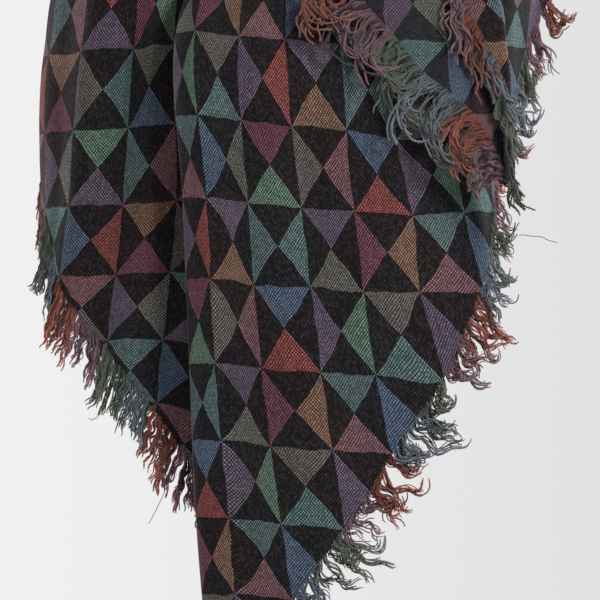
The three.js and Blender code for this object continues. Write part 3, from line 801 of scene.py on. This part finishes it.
def lock_paths(roots, middle, outs, hangs, facing, drift, chance, look):
    """The middle line of each lock. It leaves square to its edge, settles the way it hangs, waves a
    little and hooks round at its end, all in the cloth's plane, with a little lift off it. drift makes
    neighbours alike."""
    def jitter():
        return chance.normal(size=len(roots))

    steps = look["steps"]
    grown = look["start"] + (1 - look["start"]) * smoothstep(0, GROWN_AT, middle)
    full = look["length"] * grown * np.clip(1 + look["uneven"] * (0.6 * drift[0] + 0.6 * jitter()), 0.5, 1.45)
    wave = look["wave"] * np.clip(1 + 0.5 * drift[1] + 0.3 * jitter(), 0.1, 2)
    phase = 2.2 * drift[2] + 0.5 * jitter()
    hook = look["hook"] * grown + look["hook_spread"] * (0.6 * drift[3] + 0.8 * jitter())
    lean = look["lean"] * (0.7 * drift[4] + 0.5 * jitter())
    lift = look["lift"] * jitter()
    downward = unit(hangs - facing * np.sum(hangs * facing, axis=1, keepdims=True))
    sideways = np.cross(facing, downward)
    start = np.arctan2(np.sum(outs * sideways, axis=1), np.sum(outs * downward, axis=1)) + look["kick"]
    point = roots.copy()
    path = [point.copy()]
    for k in range(steps):
        share = (k + 0.5) / steps
        run = share * full
        angle = start * np.exp(-run / look["settle"]) + hook * share ** 2
        waving = wave * np.sin(phase + 2 * np.pi * run / look["wave_length"])
        angle += lean * smoothstep(0, 10, run) + waving * smoothstep(0, 8, run)
        heading = unit(downward * np.cos(angle)[:, None] + sideways * np.sin(angle)[:, None]
                       + facing * (lift * np.cos(3 * share + phase))[:, None])
        point = point + heading * (full / steps)[:, None]
        path.append(point.copy())
    return np.stack(path, axis=1)


def rest_on_cloth(paths, rise):
    """Keeps paths a little way in front of the cloth that they hang over."""
    along = np.linspace(0, 1, paths.shape[1])
    limit = FIELD[field_place(paths)] - rise[:, None] * smoothstep(-0.1, 0.3, along)
    y = np.minimum(paths[..., 1], limit)
    for _ in range(4):
        y[:, 1:-1] = (y[:, :-2] + 2 * y[:, 1:-1] + y[:, 2:]) / 4
    paths[..., 1] = np.maximum(y, FRINGE_FRONT)
    return paths


def fringe(name, edge, first, last, hang, band, seed, look, on_drape=False, strays=()):
    """Ravelled fringe along an edge. edge(place, distance) gives points off the edge, hang(place) the
    way the yarns settle and band(place) the stripe that they come from. Yarns that hang on_drape lie on
    the cloth behind them. strays are single threads: both ends, and how far the middle bows."""
    chance = np.random.default_rng(seed)
    sample = np.linspace(first, last, 1200)
    on_edge = edge(sample, 0.0)
    reach = np.concatenate([[0], np.cumsum(np.linalg.norm(np.diff(on_edge, axis=0), axis=1))])
    length = reach[-1]
    locks, steps, per_lock = int(length / look["spacing"]), look["steps"], look["per_lock"]
    middle = (np.arange(locks) + 0.5 + 0.5 * (chance.random(locks) - 0.5)) / locks * length
    place = np.interp(middle, reach, sample)
    root = edge(place, -look["inset"])
    outs = unit(edge(place, 3.0) - edge(place, 0.0))
    tangent = unit(edge(place + 0.01, 0.0) - edge(place - 0.01, 0.0))
    facing = unit(np.cross(tangent, outs))
    facing *= np.sign(-facing[:, 1:2] + 1e-6)
    drift = [drifting(middle, length, look["alike"], chance) for _ in range(5)]
    middles = lock_paths(root, middle, outs, unit(hang(place)), facing, drift, chance, look)
    # the lock's yarns
    lock = np.repeat(np.arange(locks), per_lock)
    count = len(lock)
    in_turn = np.tile((np.arange(per_lock) + 0.5) / per_lock, locks) - 0.5
    aside = look["spacing"] * (in_turn + 0.1 * chance.normal(size=count))
    own_place = np.interp(np.clip(middle[lock] + aside, 0, length), reach, sample)
    proud = look["proud"] + 0.25 * chance.normal(size=(count, 1))
    own_root = edge(own_place, -look["inset"]) + facing[lock] * proud
    share = 1 - look["ragged"] * chance.random(count) ** 1.5
    at = np.linspace(0, 1, steps + 1)[None, :] * share[:, None] * steps
    low = np.minimum(at.astype(int), steps - 1)
    part = (at - low)[..., None]
    own = middles[lock]
    rows = np.arange(count)[:, None]
    paths = own[rows, low] * (1 - part) + own[rows, low + 1] * part
    across, upward = across_paths(paths)
    along = np.linspace(0, 1, steps + 1)
    gathered = (1 - look["clump"] * smoothstep(0, 0.5, along))[None, :, None]
    paths = paths + (own_root - root[lock])[:, None] * gathered
    angle, size = 2 * np.pi * chance.random(count), look["bundle"] * np.sqrt(chance.random(count))
    grown = (smoothstep(0, 0.35, along) * (1 + 0.9 * smoothstep(0.6, 1, along)))[None, :]
    run = along[None, :] * (look["length"] * share)[:, None]
    own_wave = (look["wave_length"] * (0.55 + 0.5 * chance.random(count)))[:, None]
    own_phase = 2 * np.pi * chance.random(count)[:, None]
    wander = look["loose"] * np.sin(2 * np.pi * run / own_wave + own_phase) * smoothstep(0, 9, run)
    paths = paths + across * ((size * np.cos(angle))[:, None] * grown + wander)[..., None]
    paths = paths + upward * ((size * np.sin(angle))[:, None] * grown + 0.4 * wander)[..., None]
    if on_drape:
        paths = rest_on_cloth(paths, 1.6 + look["rise"] * chance.random(count))
    thin, thick = look["radius"]
    radii = thin + (thick - thin) * chance.random(count)
    shades = look["darkest"] + (1 - look["darkest"]) * chance.random(count)
    tones = band(own_place) + 0.02 + 0.96 * shades
    parts = []
    if look["plies"] > 1:
        across, upward = across_paths(paths)
        for ply in range(look["plies"]):
            twist = (2 * np.pi * (ply / look["plies"] + run / look["twist"]))[..., None]
            coil = (radii * PLY)[:, None, None] * (across * np.cos(twist) + upward * np.sin(twist))
            parts.append(tube_parts(paths + coil, radii * PLY, tones, 4, look["slim"]))
    else:
        parts.append(tube_parts(paths, radii, tones, 3))
    # fine fibres that stand off the yarns
    hairs = look["hairs"]
    from_yarn, from_step = chance.integers(0, count, hairs), chance.integers(2, steps + 1, hairs)
    start = paths[from_yarn, from_step]
    way = unit(chance.normal(size=(hairs, 3)) * np.array([1, 0.5, 1]) + 0.6 * np.array([0, 0, -1.0]))
    bow = unit(np.cross(way, chance.normal(size=(hairs, 3))))
    reach_out = (1.5 + 4.0 * chance.random(hairs) ** 2)[:, None]
    fibres = [start + reach_out * (way * t + 0.35 * bow * t * t) for t in np.linspace(0, 1, 5)]
    fibres = np.stack(fibres, axis=1)
    if on_drape:
        fibres[..., 1] = np.minimum(fibres[..., 1], start[:, 1:2] + 0.5)
    parts.append(tube_parts(fibres, np.full(hairs, HAIR_RADIUS), tones[from_yarn], 3))
    for begin, end, bend in strays:
        begin, end, bend = (np.array(v, float) for v in (begin, end, bend))
        t = np.linspace(0, 1, 15)[:, None]
        crimp = 0.4 * np.sin(14 * t) * np.array([0.3, 0, 1.0])
        thread = begin + (end - begin) * t + bend * np.sin(np.pi * t) + crimp
        parts.append(tube_parts(thread[None], np.array([STRAY_RADIUS]), tones[:1], 4))
    return joined_tubes(name, parts)


def hem_edge(column, distance):
    column = np.asarray(column, float)
    return drape_surface(column, hem_row(column) + distance * math.sqrt(2) / CELL)


def tail_edge(share):
    inward = 0.02 if share == 0 else -0.02

    def edge(height, distance):
        point = tail_point(share, height)
        down = unit(tail_point(share, height - 1) - point)
        out = point - tail_point(share + inward, height)
        out = unit(out - down * np.sum(out * down, axis=-1, keepdims=True))
        return point + out * distance
    return edge


def ways(*parts):
    return np.stack(np.broadcast_arrays(*[np.asarray(part, float) for part in parts]), axis=-1)


def left_band(column):
    stripe = np.floor(hem_row(column) + column)
    return np.where(column < PLEAT_COLUMN, np.mod(stripe, 4), np.mod(stripe, 3))


def right_band(column):
    return np.mod(np.floor(hem_row(column) - column), 4)


def tail_row(height):
    return through(-TAIL_ROW_HEIGHTS, TAIL_ROWS, -height)


def outer_band(height):
    return np.mod(np.floor(2 * tail_row(height)), 4)


def turned_band(height):
    return np.select([height > -141, height > -164.5, height > -197.5], [3, 2, 1], 0)


# How each edge's yarns look. Lengths are millimetres and turns are radians. A positive turn goes from
# down to the right, as seen from the front.
HEM_YARNS = dict(
    kick=0.0, inset=1.2, proud=0.0, ragged=0.4, plies=1, slim=1.0, hairs=1000, rise=0, start=1)
LEFT_HEM = dict(
    HEM_YARNS, length=44, uneven=0.2, settle=6, wave=0.36, wave_length=15, hook=0.0, hook_spread=0.35,
    lean=0.16, lift=0.14, alike=20, spacing=3.6, per_lock=8, steps=20, clump=0.1, bundle=1.6, loose=0.4,
    radius=(0.52, 0.76), darkest=0.22)
RIGHT_HEM = dict(
    HEM_YARNS, length=42, uneven=0.3, settle=14, wave=0.55, wave_length=25, hook=1.2, hook_spread=1.3,
    lean=0.34, lift=0.3, alike=11, spacing=5.0, per_lock=9, steps=24, clump=0.5, bundle=2.3, loose=0.95,
    radius=(0.44, 0.74), darkest=0.2)
TAIL_YARNS = dict(
    lift=0.0, per_lock=3, proud=1.3, clump=0.15, bundle=1.7, ragged=0.5, darkest=0.08, plies=2, twist=4.0,
    slim=0.4, rise=5)
TAIL_OUTER = dict(
    TAIL_YARNS, length=62, uneven=0.2, kick=-0.5, settle=38, wave=0.16, wave_length=28, hook=2.2,
    hook_spread=0.9, lean=0.3, alike=9, spacing=2.6, steps=36, inset=7, loose=0.95, radius=(0.72, 1.0),
    hairs=1500, start=0.55)
TAIL_TURNED = dict(
    TAIL_YARNS, length=46, uneven=0.22, kick=0.0, settle=7, wave=0.36, wave_length=26, hook=0.2,
    hook_spread=0.6, lean=0.22, alike=10, spacing=2.4, steps=32, inset=5, loose=0.7, radius=(0.7, 0.95),
    hairs=1200, start=0.75)

left_fringe = fringe(
    "left_hem_fringe", hem_edge, -FRINGE_END_COLUMN, -TIP_PARTING,
    lambda c: ways(np.where(c < -2.5, -0.3, -0.08), np.where(c < -1.7, 0.08, 0), -1), left_band, 11, LEFT_HEM,
    strays=[
        ((-102, -126, -498), (-115.5, -128, -526), (2, 0, 3)),
        ((-162, -112, -446), (-154, -114, -443), (0, 0, -2)),
    ])
right_fringe = fringe(
    "right_hem_fringe", hem_edge, TIP_PARTING, FRINGE_END_COLUMN,
    lambda c: ways(0.75, 0, -0.75 + 0.03 * c), right_band, 12, RIGHT_HEM,
    strays=[((166, -140, -306), (195, -143, -312), (0, 0, 2))])
outer_fringe = fringe(
    "tail_outer_fringe", tail_edge(0), TAIL_TIP, FRINGE_TOP,
    lambda h: ways(-0.3, 0, -1), outer_band, 13, TAIL_OUTER, on_drape=True)
turned_fringe = fringe(
    "tail_turned_fringe", tail_edge(2), TAIL_TIP, TURNED_FRINGE_TOP,
    lambda h: ways(0.1 + 0.3 * smoothstep(130, 200, -h), 0, -1), turned_band, 14, TAIL_TURNED, on_drape=True)

# ---- each piece hangs from the body's root, and the part of model.glb that it stands for is hidden
for piece, node, slot_name in (
    (wrap, "neck_wrap", "cloth"),
    (drape, "front_drape", "cloth"),
    (tail, "tail_end", "cloth_wrong_side"),
    (left_fringe, "fringe_left_hem", "fringe"),
    (right_fringe, "fringe_right_hem", "fringe"),
    (outer_fringe, "fringe_tail_outer", "fringe"),
    (turned_fringe, "fringe_tail_turned", "fringe"),
):
    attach(piece, "root")
    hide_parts(node)


# ---- room, light and camera
def stage_floor():
    bpy.ops.mesh.primitive_circle_add(vertices=64, radius=4.5, fill_type="NGON", location=(0, 0, -1.3))
    floor = bpy.context.object
    floor.name = "floor"
    bpy.ops.object.transform_apply(location=True)
    material, n, shader = new_material("Pale floor")
    tone = n.noise(n.node("ShaderNodeTexCoord").outputs["Object"], 1.5, 2.0)
    n.put(shader.inputs["Base Color"], n.mix(tone, rgb(226, 226, 227), rgb(232, 232, 233)))
    shader.inputs["Roughness"].default_value = 0.8
    # the floor fades into the pale backdrop where it is seen
    glow = n.node("ShaderNodeEmission", {"Color": rgb(222, 222, 223)})
    share = n.math("MULTIPLY", n.node("ShaderNodeLightPath").outputs["Is Camera Ray"], 0.8)
    both = n.node("ShaderNodeMixShader", {0: share, 1: shader.outputs[0], 2: glow.outputs[0]})
    n.put(material.node_tree.nodes["Material Output"].inputs["Surface"], both.outputs[0])
    floor.data.materials.append(material)


stage_floor()

world = bpy.data.worlds.new("Studio")
world.use_nodes = True
bpy.context.scene.world = world
n = Nodes(world.node_tree)
way = n.node("ShaderNodeSeparateXYZ", {0: n.node("ShaderNodeTexCoord").outputs["Generated"]}).outputs[0]
side = n.node("ShaderNodeMapRange", {"Value": way, "From Min": -0.09, "From Max": 0.09}).outputs[0]
seen = n.node("ShaderNodeLightPath").outputs["Is Camera Ray"]
backdrop = n.mix(side, rgb(241, 241, 241), rgb(225, 225, 226))
n.put(world.node_tree.nodes["Background"].inputs["Color"], n.mix(seen, (0.13, 0.13, 0.135, 1), backdrop))


def area_light(name, place, aim, size, energy, colour=(1, 1, 1)):
    data = bpy.data.lights.new(name, "AREA")
    data.shape = "RECTANGLE"
    data.size, data.size_y = size
    data.energy = energy
    data.color = colour
    lamp = bpy.data.objects.new(name, data)
    lamp.location = place
    lamp.rotation_euler = (Vector(aim) - Vector(place)).to_track_quat("-Z", "Y").to_euler()
    bpy.context.scene.collection.objects.link(lamp)


area_light("key softbox", (1.35, -1.75, 0.75), (0.0, -0.15, -0.35), (0.7, 0.7), 34)
area_light("left fill", (-1.5, -1.5, 0.1), (-0.1, -0.15, -0.35), (0.9, 1.2), 3.5)
area_light("left rim", (-1.3, 0.45, -0.1), (-0.1, -0.15, -0.35), (0.4, 1.4), 20)
area_light("right back", (1.4, 0.9, 0.1), (0.1, -0.1, -0.35), (0.6, 1.4), 32)

data = bpy.data.cameras.new("Camera")
camera = bpy.data.objects.new("Camera", data)
data.lens, data.sensor_width = 208, 36
data.clip_start, data.clip_end = 0.05, 60
camera.location = (0, -2.77, -0.355)
camera.rotation_euler = (math.radians(90), 0, 0)
bpy.context.scene.collection.objects.link(camera)
bpy.context.scene.camera = camera
bpy.context.scene.view_settings.view_transform = "Standard"
